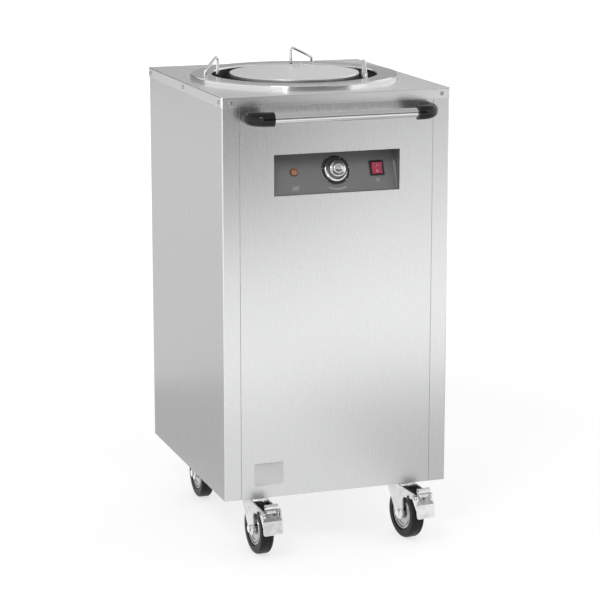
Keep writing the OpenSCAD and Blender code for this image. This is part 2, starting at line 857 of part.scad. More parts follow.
// Half of the knob's section as (r, z): a flange, a tapered grip, a hollowed shoulder and a domed button
function knob_section(r) = concat(
    [[0, 0]],
    arc([r - 1.2, 1.2], 1.2, -90, 0, 4),
    arc([r - 1.3, knob_flange - 1.3], 1.3, 0, 80, 4),
    [[r - 3.2, knob_flange + 1.6]],
    arc([r - 9.6, knob_grip - 4], 4, 10, 84, 6),
    [[knob_button + 0.7, knob_grip + 0.5], [knob_button, knob_grip + 1.2]],
    arc([knob_button - 2, knob_grip + 2.4], 2, 0, 72, 5),
    [[knob_button / 2, knob_grip + 4.8], [0, knob_grip + 5]]
);

module thermostat_knob() {
    r = knob_d / 2;
    color(bright) at_cabinet() at_fascia(knob_x) translate([0, 0, dial_t + gap]) difference() {
        rotate_extrude($fn = 96) polygon(knob_section(r));
        translate([0, 0, -1]) cylinder(h = 12, r = shaft_r + fit / 2);
        translate([-0.6, r - 9, knob_grip - 0.8]) cube([1.2, 5, 5]);
    }
}

module dial_plate() {
    color(black) at_cabinet() at_fascia(knob_x) difference() {
        cylinder(h = dial_t, r = dial_d / 2, $fn = 96);
        translate([0, 0, -1]) cylinder(h = 4, r = shaft_r + 1);
    }
}

module lamp_body() {
    color(black) at_cabinet() at_fascia(lamp_x) {
        cylinder(h = 1.5, r = lamp_r);
        translate([0, 0, -fascia_t - lamp_depth]) cylinder(h = fascia_t + lamp_depth, r = lamp_barrel_r);
        for (x = [-1, 1]) translate([x * 2.5 - 1, -0.4, -fascia_t - lamp_depth - 7]) cube([2, 0.8, 8]);
    }
}

module lamp_lens() {
    color(amber) at_cabinet() at_fascia(lamp_x) translate([0, 0, 1.5]) {
        cylinder(h = 1.5, r = lamp_r - 1);
        intersection() {
            translate([0, 0, -3]) sphere(lamp_r);
            cylinder(h = 10, r = lamp_r - 1.5);
        }
    }
}

module switch_housing() {
    pocket_w = rocker_w + 2 * gap;
    pocket_h = rocker_h + 2.5;
    color(black) at_cabinet() at_fascia(switch_x) difference() {
        union() {
            translate([-switch_w / 2, -switch_h / 2, 0]) cube([switch_w, switch_h, 2]);
            translate([-switch_w / 2 + 2 + fit, -switch_h / 2 + 2 + fit, -fascia_t - switch_depth])
                cube([switch_w - 4 - 2 * fit, switch_h - 4 - 2 * fit, fascia_t + switch_depth]);
            for (y = [-7, 0, 7]) translate([-3, y - 0.4, -fascia_t - switch_depth - 8]) cube([6, 0.8, 10]);
        }
        translate([-pocket_w / 2, -pocket_h / 2, -10]) cube([pocket_w, pocket_h, 15]);
        translate([0, 0, rocker_pivot]) rotate([0, 90, 0])
            cylinder(h = pocket_w + 2.4, r = 1.2 + run, center = true, $fn = 32);
    }
}

module switch_rocker() {
    half = rocker_h / 2 - 0.7;
    color(red) at_cabinet() at_fascia(switch_x) translate([0, 0, rocker_pivot]) rotate([rocker_tilt, 0, 0]) {
        across(rocker_w / 2) polygon([[-half, 7.6], [0, 5.4], [half, 7.6], [half - 2, -2.5], [2 - half, -2.5]]);
        rotate([0, 90, 0]) cylinder(h = rocker_w + 2.4, r = 1.2, center = true, $fn = 32);
    }
}

// Where a wire meets the back of a control
function behind_fascia(x, depth) = [
    x,
    fascia_y + depth * cos(fascia_tilt),
    fascia_z - depth * sin(fascia_tilt)
];

module thermostat_capillary() {
    start = behind_fascia(knob_x, fascia_t + stat_d);
    bulb_y = -tube_out - bulb_r;
    color(copper) at_cabinet() {
        translate([0, bulb_y, bulb_z - 2]) cylinder(h = bulb_len + 4, r = bulb_r);
        wire([
            start,
            start + [0, 6, -3],
            [0, bulb_y - 6, bulb_z + bulb_len + capillary_turn + 20],
            [0, bulb_y, bulb_z + bulb_len + capillary_turn],
            [0, bulb_y, bulb_z + bulb_len + 1]
        ], 1, 5);
    }
}

module terminal_block() {
    color(nylon) at_cabinet() translate([gland_x + 25, tray_y - 50, tray_top]) difference() {
        union() {
            cube([50, 22, 8]);
            translate([0, 4, 0]) cube([50, 14, 16]);
        }
        for (i = [0 : 3]) translate([6 + i * 12.5, 11, 6]) cylinder(h = 12, r = 3);
    }
}

module wiring_loom() {
    loom_x = -face_x + 20;
    loom_y = -tray_y + 40;
    low = tray_top + 10;
    high = recess_z0 - 12;
    lamp = behind_fascia(lamp_x, fascia_t + lamp_depth + 7.3);
    switch = behind_fascia(switch_x, fascia_t + switch_depth + 8.3);
    stat = behind_fascia(knob_x - 14, fascia_t + stat_d + 8.3);
    heater = heater_end(-1);
    block = [gland_x + 25, tray_y - 39, low];
    color(black) at_cabinet() {
        wire([
            block - [gap, 0, 0],
            [loom_x, block[1], low],
            [loom_x, loom_y, low],
            [loom_x, loom_y, high],
            [switch_x, loom_y, high]
        ], 3, 10);
        wire([[lamp[0], loom_y, high], lamp - [0, 0, 0.8]], 1.2, 5);
        wire([[stat[0], loom_y, high], stat - [0, 0, 8]], 1.2, 5);
        wire([[switch[0], loom_y, high], switch - [0, 0, 0.8]], 1.2, 5);
        wire([
            [loom_x, heater[1], low],
            [heater[0], heater[1], low],
            [heater[0], heater[1], floor_z - heater_drop - heater_stud - gap]
        ], 1.5, 6);
    }
}

module cable_gland() {
    color(black) at_cabinet() translate([gland_x, face_y, gland_z]) rotate([-90, 0, 0]) difference() {
        union() {
            cylinder(h = 4, r = gland_r + 4);
            translate([0, 0, 4]) hex(gland_r + 3, 8);
            translate([0, 0, 12]) cylinder(h = gland_out - 16, r = gland_r + 1);
            translate([0, 0, gland_out - 4]) cylinder(h = 4, r1 = gland_r + 1, r2 = gland_r - 2);
            translate([0, 0, -12]) cylinder(h = 12, r = gland_r);
            translate([0, 0, -panel_t - 5]) hex(gland_r + 3, 5);
        }
        translate([0, 0, -13]) cylinder(h = gland_out + 14, r = gland_bore_r);
    }
}

// ---------- handle ----------

module handle_tube() {
    half = grip_len / 2 + grip_seat;
    color(bright) at_cabinet() translate([-half, grip_y, grip_z]) rotate([0, 90, 0]) difference() {
        cylinder(h = 2 * half, r = grip_r);
        translate([0, 0, -1]) cylinder(h = 2 * half + 2, r = grip_r - 1.2);
    }
}

// A moulded elbow from its foot on the panel round to the tube
module handle_bracket() {
    bend_y = grip_y + bracket_bend;
    color(black) difference() {
        union() {
            translate([-bracket_x, bend_y, grip_z]) rotate([-90, 0, 0]) cylinder(h = -face_y - bend_y, r = bracket_r);
            translate([-bracket_x + bracket_bend, bend_y, grip_z]) rotate([0, 0, 180])
                rotate_extrude(angle = 90) translate([bracket_bend, 0]) circle(bracket_r);
            translate([-bracket_x + bracket_bend, grip_y, grip_z]) rotate([0, 90, 0])
                cylinder(h = bracket_end, r = bracket_r);
        }
        translate([-grip_len / 2 - grip_seat, grip_y, grip_z]) rotate([0, 90, 0])
            cylinder(h = grip_seat + 5, r = grip_r + fit / 2);
        translate([-bracket_x, -face_y - handle_bolt_in - 1, grip_z]) rotate([-90, 0, 0])
            cylinder(h = handle_bolt_in + 2, r = handle_bolt_r + fit / 2);
    }
}

module handle_bracket_left() {
    at_cabinet() handle_bracket();
}

module handle_bracket_right() {
    at_cabinet() mirror([1, 0, 0]) handle_bracket();
}

module handle_bolts() {
    color(zinc) at_cabinet() for (x = [-1, 1]) translate([x * bracket_x, -face_y, grip_z]) rotate([-90, 0, 0]) {
        translate([0, 0, -handle_bolt_in]) cylinder(h = handle_bolt_len, r = handle_bolt_r);
        translate([0, 0, panel_t]) hex(handle_nut_r, handle_nut_h);
    }
}

// ---------- castors ----------

module castor_plate() {
    difference() {
        union() {
            translate([0, 0, plate_z]) linear_extrude(castor_t) rounded_rect(castor_plate_w, castor_plate_d, 8);
            translate([0, 0, race_z]) cylinder(h = 6, r = race_r);
        }
        translate([0, 0, race_z - 1]) cylinder(h = 6, r = race_r - 6);
        for (x = [-1, 1], y = [-1, 1])
            translate([x * castor_bolt_x, y * castor_bolt_y, plate_z - 5]) cylinder(h = 15, r = castor_bolt_r + fit);
    }
    translate([0, 0, crown_z - 5]) cylinder(h = castor_h - crown_z + 5, r = kingpin_r);
    translate([0, 0, crown_z - gap - 4]) cylinder(h = 4, r = kingpin_r + 4);
}

module castor_plates() {
    color(zinc) at_cabinet() for (place = castors) translate([place[0], place[1], 0]) castor_plate();
}

module castor_bolts() {
    color(bright) at_cabinet() for (place = castors, x = [-1, 1], y = [-1, 1])
        translate([place[0] + x * castor_bolt_x, place[1] + y * castor_bolt_y, 0]) {
            translate([0, 0, plate_z - 5]) hex(7, 5);
            translate([0, 0, plate_z - 1]) cylinder(h = tray_top + 7 - plate_z + 1, r = castor_bolt_r);
            translate([0, 0, tray_top]) hex(7, 6);
        }
}

// A cheek of the fork as a (y, z) outline: an upright leg with the axle's boss at its foot, and the brake's arm
module fork_outline(braked) {
    axle = [-trail, wheel_r];
    back = [20, crown_z + 2];
    front = [-30, crown_z + 2];
    leg = axle[0] - axle_boss_r;
    under = pedal_pivot[1] - pedal_boss_r - 5;
    polygon(concat(
        [back, front],
        braked
            ? concat(
                arc(pedal_pivot, pedal_boss_r, touch(front, pedal_pivot, pedal_boss_r, 1), 270, 8),
                arc([leg - arm_corner, under - arm_corner], arm_corner, 90, 0, 6)
            )
            : [[leg, crown_z - 18]],
        arc(axle, axle_boss_r, 180, 360 + touch(back, axle, axle_boss_r, -1))
    ));
}

module fork(braked) {
    color(zinc) difference() {
        union() {
            for (side = [-1, 1]) mirror([side < 0 ? 0 : 1, 0, 0]) slab(-fork_out, castor_t) fork_outline(braked);
            translate([0, 0, crown_z]) cylinder(h = 3, r = crown_r);
            translate([0, 0, crown_z + 3]) difference() {
                cylinder(h = 3, r = crown_r);
                translate([0, 0, -1]) cylinder(h = 5, r = crown_r - 6);
            }
            if (braked) {
                translate([0, pedal_pivot[0], pedal_pivot[1]]) rotate([0, 90, 0]) {
                    cylinder(h = 2 * (pedal_out + gap + 1.5), r = pedal_pin_r, center = true);
                    for (side = [-1, 1])
                        translate([0, 0, side * (pedal_out + gap + 0.75)]) cylinder(h = 1.5, r = 4.5, center = true);
                }
            }
        }
        translate([0, 0, crown_z - 1]) cylinder(h = 10, r = kingpin_r + run);
        translate([0, -trail, wheel_r]) rotate([0, 90, 0]) cylinder(h = 100, r = axle_r + fit, center = true);
    }
}

module axle() {
    color(bright) translate([0, -trail, wheel_r]) rotate([0, 90, 0]) {
        cylinder(h = 2 * fork_out + 8, r = axle_r, center = true);
        for (side = [0, 1]) mirror([0, 0, side]) translate([0, 0, fork_out]) {
            cylinder(h = 1, r = 8);
            hex(7.5, 5);
        }
    }
}

// Half a section as (r, x) points, joined to its own mirror image
function both_sides(points) =
    concat(points, [for (i = [len(points) - 1 : -1 : 0]) [points[i][0], -points[i][1]]]);

// The wheel's centre, stepped like a pressed and ribbed disc
module hub() {
    half = fork_in - gap;
    color(zinc) translate([0, -trail, wheel_r]) rotate([0, 90, 0]) rotate_extrude($fn = 96) polygon(both_sides([
        [axle_r + run, half], [axle_r + 4, half], [axle_r + 5, half - 4],
        [hub_r - 10, half - 5], [hub_r - 9, half - 3.4], [hub_r - 6, half - 3.4], [hub_r - 5, half - 5.4],
        [hub_r - 2.5, half - 5.4], [hub_r - 2, half - 3.2], [hub_r, half - 3.2]
    ]));
}

module tyre() {
    color(rubber) translate([0, -trail, wheel_r]) rotate([0, 90, 0]) rotate_extrude($fn = 96) difference() {
        translate([hub_r + tyre_depth / 2, 0]) rounded_rect(tyre_depth, tyre_w, tyre_shoulder);
        for (x = [-1, 1]) translate([wheel_r, x * 4.5]) square([1.6, 1], center = true);
    }
}

// The pedal's front as a (x, z) outline: a neck that widens to the toe, with rounded lower corners
module pedal_front(top, shoulder, toe, foot) {
    corner = 4;
    polygon(concat(
        [[-pedal_neck, top], [-pedal_neck, shoulder], [-pedal_out, toe]],
        arc([-pedal_out + corner, foot + corner], corner, 180, 270, 6),
        arc([pedal_out - corner, foot + corner], corner, 270, 360, 6),
        [[pedal_out, toe], [pedal_neck, shoulder], [pedal_neck, top]]
    ));
}

// A pressed pedal: rolled upper edge, steep tread and toe lip, and a cam that the pivot turns on to the tyre
module pedal() {
    rolled = [pedal_pivot[0] - 6, panel_z - 2 * gap - pedal_tube_r];
    tread = rolled + [3, -3.6];
    toe = pedal_pivot + [-12, -14];
    lip = toe + [-5, -25];
    to_axle = [-trail, wheel_r] - pedal_pivot;
    cam = pedal_pivot + polar(
        atan2(to_axle[1], to_axle[0]) - pedal_press,
        norm(to_axle) - wheel_r - gap - cam_r
    );
    color(bright) difference() {
        union() {
            intersection() {
                across(pedal_out) {
                    strip(tread, toe, pedal_t);
                    strip(toe, lip, pedal_t);
                    translate(rolled) circle(pedal_tube_r);
                }
                rotate([90, 0, 0]) linear_extrude(2 * wheel_d)
                    pedal_front(castor_h, toe[1] + 8, toe[1] + 4, lip[1] - pedal_t / 2);
            }
            for (side = [0, 1]) mirror([side, 0, 0]) slab(pedal_in, pedal_t) polygon(concat(
                [toe + [0, 3.5], (toe + lip) / 2],
                arc(pedal_pivot, pedal_boss_r + 1, -60, 150, 6)
            ));
            across(9) {
                translate(pedal_pivot) circle(pedal_boss_r + 1);
                strip(pedal_pivot, pedal_pivot + [-5.5, 2.5], 5);
                strip(pedal_pivot, cam, 2 * cam_r);
            }
        }
        translate([0, pedal_pivot[0], pedal_pivot[1]]) rotate([0, 90, 0])
            cylinder(h = 100, r = pedal_pin_r + run, center = true);
        translate([0, rolled[0], rolled[1]]) rotate([0, 90, 0])
            cylinder(h = 100, r = pedal_tube_r - 1.6, center = true);
    }
}

module castor_fl_fork() { at_cabinet() at_castor(castor_fl) fork(true); }
module castor_fl_axle() { at_cabinet() at_castor(castor_fl) axle(); }
module castor_fl_hub() { at_cabinet() at_castor(castor_fl) hub(); }
module castor_fl_tyre() { at_cabinet() at_castor(castor_fl) tyre(); }
module castor_fl_pedal() { at_cabinet() at_castor(castor_fl) pedal(); }
module castor_fr_fork() { at_cabinet() at_castor(castor_fr) fork(true); }
module castor_fr_axle() { at_cabinet() at_castor(castor_fr) axle(); }
module castor_fr_hub() { at_cabinet() at_castor(castor_fr) hub(); }
module castor_fr_tyre() { at_cabinet() at_castor(castor_fr) tyre(); }
module castor_fr_pedal() { at_cabinet() at_castor(castor_fr) pedal(); }
module castor_rl_fork() { at_cabinet() at_castor(castor_rl) fork(false); }
module castor_rl_axle() { at_cabinet() at_castor(castor_rl) axle(); }
module castor_rl_hub() { at_cabinet() at_castor(castor_rl) hub(); }
module castor_rl_tyre() { at_cabinet() at_castor(castor_rl) tyre(); }
module castor_rr_fork() { at_cabinet() at_castor(castor_rr) fork(false); }
module castor_rr_axle() { at_cabinet() at_castor(castor_rr) axle(); }
module castor_rr_hub() { at_cabinet() at_castor(castor_rr) hub(); }
module castor_rr_tyre() { at_cabinet() at_castor(castor_rr) tyre(); }

top_panel();
left_side_panel();
right_side_panel();
front_panel();
rear_panel();
base_tray();
corner_posts();
panel_screws();
well_ring();
well_tube();
well_floor();
heater_element();
heater_clips();
guide_bushes();
spring_hangers();
lift_springs();
control_fascia();
thermostat_body();
thermostat_capillary();
dial_plate();
lamp_body();
lamp_lens();
switch_housing();
terminal_block();
wiring_loom();
cable_gland();
handle_tube();
handle_bracket_left();
handle_bracket_right();
handle_bolts();
castor_plates();
castor_bolts();
carrier_disc();
carrier_spider();
slot_sliders();
guide_left();
guide_right();
guide_back();
thermostat_knob();
thermostat_shaft();
switch_rocker();
castor_fl_fork();
castor_fl_axle();
castor_fl_hub();
castor_fl_tyre();
castor_fl_pedal();
castor_fr_fork();
castor_fr_axle();
castor_fr_hub();
castor_fr_tyre();
castor_fr_pedal();
castor_rl_fork();
castor_rl_axle();
castor_rl_hub();
castor_rl_tyre();
castor_rr_fork();
castor_rr_axle();
castor_rr_hub();
castor_rr_tyre();
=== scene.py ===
"""Dresses the plate warmer cabinet's CAD model with its finishes and small pieces, and sets its stage."""

import math

import bmesh
import bpy
from mathutils import Matrix, Vector


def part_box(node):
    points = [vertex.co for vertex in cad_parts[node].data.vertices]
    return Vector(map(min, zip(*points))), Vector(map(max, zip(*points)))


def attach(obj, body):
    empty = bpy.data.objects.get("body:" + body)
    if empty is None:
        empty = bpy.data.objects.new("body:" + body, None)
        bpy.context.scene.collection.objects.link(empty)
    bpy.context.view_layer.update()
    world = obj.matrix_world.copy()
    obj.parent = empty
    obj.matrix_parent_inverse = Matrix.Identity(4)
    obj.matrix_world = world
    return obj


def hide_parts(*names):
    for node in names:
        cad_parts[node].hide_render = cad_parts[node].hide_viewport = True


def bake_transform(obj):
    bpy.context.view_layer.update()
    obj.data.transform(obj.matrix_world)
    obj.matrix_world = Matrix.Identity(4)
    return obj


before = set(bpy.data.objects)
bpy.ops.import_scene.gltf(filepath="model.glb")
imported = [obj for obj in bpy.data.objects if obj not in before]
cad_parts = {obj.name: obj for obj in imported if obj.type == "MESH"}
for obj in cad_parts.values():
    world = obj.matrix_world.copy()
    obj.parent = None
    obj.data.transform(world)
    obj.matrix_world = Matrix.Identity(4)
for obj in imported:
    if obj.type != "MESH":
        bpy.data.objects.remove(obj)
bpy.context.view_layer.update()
mm = 0.001
micron = 0.000001

# The cabinet, in metres: the middle of its depth, its front panel's face and its top surface
cabinet_y = 18 * mm
front_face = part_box("front_panel")[0][1]
top_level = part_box("top_panel")[1][2]

# The fascia, in millimetres: its height, and how much deeper its upper edge stands than its lower one
fascia_height = 77
fascia_lean = 33
fascia_tilt = math.atan2(fascia_lean, fascia_height)
fascia_centre = Vector((0, -205 * mm, 732.5 * mm))

# The places of its controls across it
lamp_x = -77
knob_x = 5
switch_x = 87

# A place that moves nothing
origin = Matrix.Identity(4)


# ---------- camera ----------


def set_camera():
    """Looks down on the cabinet's left front corner, as the photograph does."""
    sensor = 36
    tilt_down, turn_right = 12.639, 18.984
    data = bpy.data.cameras.new("camera")
    data.sensor_width = sensor
    data.sensor_height = sensor
    data.sensor_fit = "AUTO"
    data.lens = 133.72
    data.clip_end = 100
    camera = bpy.data.objects.new("camera", data)
    camera.location = (-1.39567, -4.07374, 1.40643)
    camera.rotation_euler = (math.radians(90 - tilt_down), 0, math.radians(-turn_right))
    bpy.context.scene.collection.objects.link(camera)
    bpy.context.scene.camera = camera


# ---------- nodes ----------


class Signal:
    """A shader socket that joins in sums: mask * 2 + 1 adds the Math nodes."""

    def __init__(self, nodes, socket):
        self.nodes = nodes
        self.socket = socket

    def sum(self, operation, first, second):
        """Adds a Math node on two signals or numbers."""
        return self.nodes.node("ShaderNodeMath", {"operation": operation}, {0: first, 1: second})

    def __add__(self, other):
        return self.sum("ADD", self, other)

    def __radd__(self, other):
        return self.sum("ADD", other, self)

    def __sub__(self, other):
        return self.sum("SUBTRACT", self, other)

    def __rsub__(self, other):
        return self.sum("SUBTRACT", other, self)

    def __mul__(self, other):
        return self.sum("MULTIPLY", self, other)

    def __rmul__(self, other):
        return self.sum("MULTIPLY", other, self)


class Nodes:
    """A node tree under construction, a material's or the world's."""

    def __init__(self, tree):
        self.tree = tree

    def first(self, kind):
        """The node of that kind that the tree already has."""
        return next(n for n in self.tree.nodes if n.type == kind)

    def feed(self, socket, value):
        """Links a signal to a socket, or sets a plain value on it."""
        if isinstance(value, Signal):
            self.tree.links.new(value.socket, socket)
        else:
            socket.default_value = value

    def node(self, kind, settings=None, sockets=None, output=0):
        """Adds a node: its settings first, then the values or links of its sockets."""
        made = self.tree.nodes.new(kind)
        for name, value in (settings or {}).items():
            setattr(made, name, value)
        for name, value in (sockets or {}).items():
            self.feed(made.inputs[name], value)
        return Signal(self, made.outputs[output])

    def ramp(self, signal, low, high):
        """0 below low, 1 above high, and a straight slope between."""
        return self.node(
            "ShaderNodeMapRange", {"clamp": True}, {"Value": signal, "From Min": low, "From Max": high}
        )

    def clear_rays(self):
        """1 for what the camera sees, also by way of metal or glass, and 0 for what lights the object."""
        camera = self.node("ShaderNodeLightPath", output="Is Camera Ray")
        rays = camera.socket.node.outputs
        mirrored = Signal(self, rays["Is Glossy Ray"])
        through_glass = Signal(self, rays["Is Transmission Ray"])
        return self.ramp(camera + mirrored + through_glass, 0, 1)


class Finish(Nodes):
    """A material under construction: its shader, and the nodes that vary it."""

    def __init__(self, name, base, roughness, metallic=0.0, **constants):
        self.material = bpy.data.materials.new(name)
        self.material.use_nodes = True
        super().__init__(self.material.node_tree)
        self.shader = self.first("BSDF_PRINCIPLED")
        self.base = base
        self.set("Base Color", (*base, 1))
        self.set("Roughness", roughness)
        self.set("Metallic", metallic)
        for socket, value in constants.items():
            self.set(socket.replace("_", " "), value)
        self.material.diffuse_color = (*base, 1)

    def set(self, socket, value):
        """Feeds one of the shader's own sockets."""
        self.feed(self.shader.inputs[socket], value)

    def spot(self, stretch=(1, 1, 1), angles=(0, 0, 0)):
        """Object coordinates, turned and stretched."""
        raw = self.node("ShaderNodeTexCoord", output="Object")
        return self.node("ShaderNodeMapping", {}, {"Vector": raw, "Scale": stretch, "Rotation": angles})

    def noise(self, scale, detail, stretch=(1, 1, 1), angles=(0, 0, 0), rough=0.5):
        """Soft spots, scale of them to a metre, that run into lines where they are stretched."""
        return self.node(
            "ShaderNodeTexNoise",
            {},
            {"Vector": self.spot(stretch, angles), "Scale": scale, "Detail": detail, "Roughness": rough},
        )

    def cells(self, scale):
        """Facets, scale of them to a metre."""
        return self.node("ShaderNodeTexVoronoi", {}, {"Vector": self.spot(), "Scale": scale})

    def blend(self, mask, first, second):
        """A colour that goes from first to second with the mask."""
        factor, first_in, second_in, colour_out = 0, 6, 7, 2
        return self.node(
            "ShaderNodeMix",
            {"data_type": "RGBA"},
            {factor: mask, first_in: (*first, 1), second_in: (*second, 1)},
            output=colour_out,
        )

    def tint(self, mask, change):
        """Varies the base colour by a share either side, as the mask goes from 0 to 1."""
        dark = tuple(c * (1 - change) for c in self.base)
        light = tuple(min(1, c * (1 + change)) for c in self.base)
        return self.blend(mask, dark, light)

    def relief(self, height, distance, strength, under=None):
        """Bumps of that depth, over the normal that is given under them."""
        sockets = {"Height": height, "Distance": distance, "Strength": strength}
        if under is not None:
            sockets["Normal"] = under
        return self.node("ShaderNodeBump", {}, sockets)

    def soft_edge(self, radius):
        """The light that a small rounding catches on a folded or moulded edge."""
        return self.node("ShaderNodeBevel", {"samples": 4}, {"Radius": radius})


# ---------- finishes ----------


def brushed(name, base, roughness, grain, edge=0.7 * mm):
    """Sheet steel with a fine brushed grain. Its stretch is small along the lines and large across."""
    steel = Finish(name, base, roughness, metallic=1.0)
    lines = steel.noise(1400, detail=3, stretch=grain, rough=0.6)
    fine = steel.noise(3600, detail=2, stretch=grain)
    cloud = steel.noise(4, detail=3)
    steel.set("Base Color", steel.tint(lines * 0.6 + cloud * 0.4, 0.018))
    steel.set("Roughness", roughness - 0.04 + lines * 0.05 + cloud * 0.04)
    grooves = lines * 0.4 + fine * 0.6
    steel.set("Normal", steel.relief(grooves, 1.5 * micron, 0.6, steel.soft_edge(edge)))
    return steel.material


def polished(name, base, roughness):
    """Bright steel with faint swirls and rub marks."""
    scuff = 0.05
    steel = Finish(name, base, roughness, metallic=1.0)
    rub = steel.noise(35, detail=5, rough=0.65)
    hair = steel.noise(420, detail=3, stretch=(1, 1, 0.15), angles=(0.4, 0.7, 0.2))
    scratch = steel.ramp(hair, 0.62, 0.8)
    steel.set("Base Color", steel.tint(rub, 0.03))
    steel.set("Roughness", roughness - scuff / 2 + rub * scuff + scratch * scuff)
    steel.set("Normal", steel.relief(rub * 0.6 + scratch, 12 * micron, 0.6, steel.soft_edge(0.4 * mm)))
    return steel.material


def galvanised(name, base, roughness):
    """Zinc coating with its spangle and a few dull patches."""
    zinc = Finish(name, base, roughness, metallic=1.0)
    flower = zinc.cells(95)
    patch = zinc.noise(22, detail=4)
    zinc.set("Base Color", zinc.tint(flower * 0.5 + patch * 0.5, 0.12))
    zinc.set("Roughness", roughness - 0.08 + patch * 0.16 + flower * 0.06)
    zinc.set("Normal", zinc.relief(patch + flower * 0.3, 40 * micron, 0.7, zinc.soft_edge(0.5 * mm)))
    return zinc.material


def plated(name, base, roughness):
    """Bright plate on pressed castor parts, a little orange-peeled and dulled in scattered patches."""
    plate = Finish(name, base, roughness, metallic=1.0)
    peel = plate.noise(520, detail=2)
    dull = plate.ramp(plate.noise(70, detail=4, rough=0.6), 0.45, 0.75)
    plate.set("Base Color", plate.tint(1 - dull, 0.08))
    plate.set("Roughness", roughness + dull * 0.16)
    plate.set("Normal", plate.relief(peel + dull, 25 * micron, 0.7, plate.soft_edge(0.5 * mm)))
    return plate.material


def moulded(name, base, roughness, edge=0.6 * mm, speckle=900, depth=30 * micron, **constants):
    """Moulded plastic: a fine spark-eroded skin, with handled places a little shinier."""
    plastic = Finish(name, base, roughness, **constants)
    skin = plastic.noise(speckle, detail=2)
    handled = plastic.noise(28, detail=3)
    plastic.set("Base Color", plastic.tint(handled, 0.12))
    plastic.set("Roughness", roughness - 0.05 + handled * 0.12 + skin * 0.03)
    plastic.set("Normal", plastic.relief(skin, depth, 0.6, plastic.soft_edge(edge)))
    return plastic.material


def tyre_rubber(name):
    """Vulcanised rubber: matt black, dusty on the tread."""
    rubber = Finish(name, (0.012, 0.012, 0.013), 0.5, Specular_IOR_Level=0.25)
    dust = rubber.ramp(rubber.noise(60, detail=5, rough=0.7), 0.45, 0.85)
    pore = rubber.noise(1400, detail=2)
    rubber.set("Base Color", rubber.blend(dust, (0.009, 0.009, 0.010), (0.022, 0.0215, 0.021)))
    rubber.set("Roughness", 0.36 + dust * 0.25)
    rubber.set("Normal", rubber.relief(pore + dust * 0.4, 60 * micron, 0.6, rubber.soft_edge(0.6 * mm)))
    return rubber.material


def lamp_plastic(name, base, glow):
    """Tinted clear plastic over a neon lamp."""
    lens = Finish(name, base, 0.16, Emission_Strength=glow, Coat_Roughness=0.05)
    facet = lens.cells(700)
    lens.set("Base Color", lens.tint(facet, 0.25))
    lens.set("Emission Color", lens.blend(facet, tuple(c * 0.5 for c in base), base))
    lens.set("Coat Weight", 0.8)
    lens.set("Normal", lens.relief(facet, 200 * micron, 0.5, lens.soft_edge(0.4 * mm)))
    return lens.material


def printed_panel(name):
    """The dark satin control plate: fine brushed lines under a clear lacquer."""
    plate = Finish(name, (0.26, 0.262, 0.264), 0.4, metallic=0.3)
    lines = plate.noise(700, detail=3, stretch=(0.03, 1, 1), rough=0.6)
    wear = plate.noise(18, detail=4)
    plate.set("Base Color", plate.tint(lines * 0.5 + wear * 0.5, 0.14))
    plate.set("Roughness", 0.3 + wear * 0.14 + lines * 0.06)
    plate.set("Normal", plate.relief(lines, 3 * micron, 0.7, plate.soft_edge(0.6 * mm)))
    return plate.material


def oxide_sheath(name):
    """The heater's sheath, dark and tempered blue-brown in bands."""
    sheath = Finish(name, (0.12, 0.11, 0.10), 0.5, metallic=0.8)
    band = sheath.noise(9, detail=4)
    sheath.set("Base Color", sheath.blend(band, (0.07, 0.075, 0.09), (0.20, 0.15, 0.11)))
    sheath.set("Roughness", 0.4 + band * 0.2)
    sheath.set("Normal", sheath.relief(sheath.noise(300, detail=3), 50 * micron, 0.6))
    return sheath.material


def ink(name, base):
    """Printing ink, very slightly worn."""
    print_ink = Finish(name, base, 0.5)
    wear = print_ink.ramp(print_ink.noise(900, detail=3), 0.25, 0.5)
    print_ink.set("Base Color", print_ink.blend(wear, tuple(c * 0.7 for c in base), base))
    print_ink.set("Roughness", 0.6 - wear * 0.12)
    return print_ink.material


def plain_name(material):
    """The material's name without the number that Blender adds to a second one of that name."""
    return material.name.split(".")[0]


finishes = {
    plain_name(made): made
    for made in (
        brushed("brushed_stainless", (0.75, 0.755, 0.76), 0.27, grain=(1, 1, 0.012)),
        brushed("top_stainless", (0.86, 0.865, 0.87), 0.25, grain=(0.012, 1, 1)),
        brushed("disc_steel", (0.90, 0.90, 0.90), 0.3, grain=(1, 0.02, 1)),
        polished("polished_steel", (0.80, 0.80, 0.80), 0.12),
        polished("grip_steel", (0.70, 0.70, 0.70), 0.2),
        brushed("well_steel", (0.50, 0.505, 0.51), 0.36, grain=(1, 1, 0.05)),
        galvanised("zinc_steel", (0.58, 0.59, 0.60), 0.42),
        polished("screw_steel", (0.46, 0.46, 0.46), 0.24),
        oxide_sheath("heater_sheath"),
        moulded("white_nylon", (0.78, 0.77, 0.73), 0.42),
        printed_panel("grey_fascia"),
        polished("copper", (0.72, 0.42, 0.28), 0.3),
        moulded("black_dial", (0.022, 0.022, 0.024), 0.4),
        moulded("black_plastic", (0.020, 0.020, 0.021), 0.38),
        moulded(
            "black_handle",
            (0.010, 0.010, 0.011),
            0.1,
            edge=1.0 * mm,
            speckle=700,
            depth=6 * micron,
            Specular_IOR_Level=0.32,
        ),
        lamp_plastic("amber_lens", (0.50, 0.17, 0.08), glow=0.12),
        lamp_plastic("red_rocker", (0.50, 0.022, 0.075), glow=0.1),
        polished("knob_metal", (0.66, 0.66, 0.66), 0.16),
        plated("castor_steel", (0.78, 0.78, 0.78), 0.26),
        plated("castor_bright", (0.92, 0.92, 0.92), 0.2),
        plated("castor_hub", (0.48, 0.48, 0.485), 0.2),
        tyre_rubber("black_rubber"),
        ink("white_ink", (0.80, 0.80, 0.79)),
        brushed("badge_metal", (0.66, 0.67, 0.66), 0.34, grain=(0.03, 1, 1), edge=0.2 * mm),
    )
}

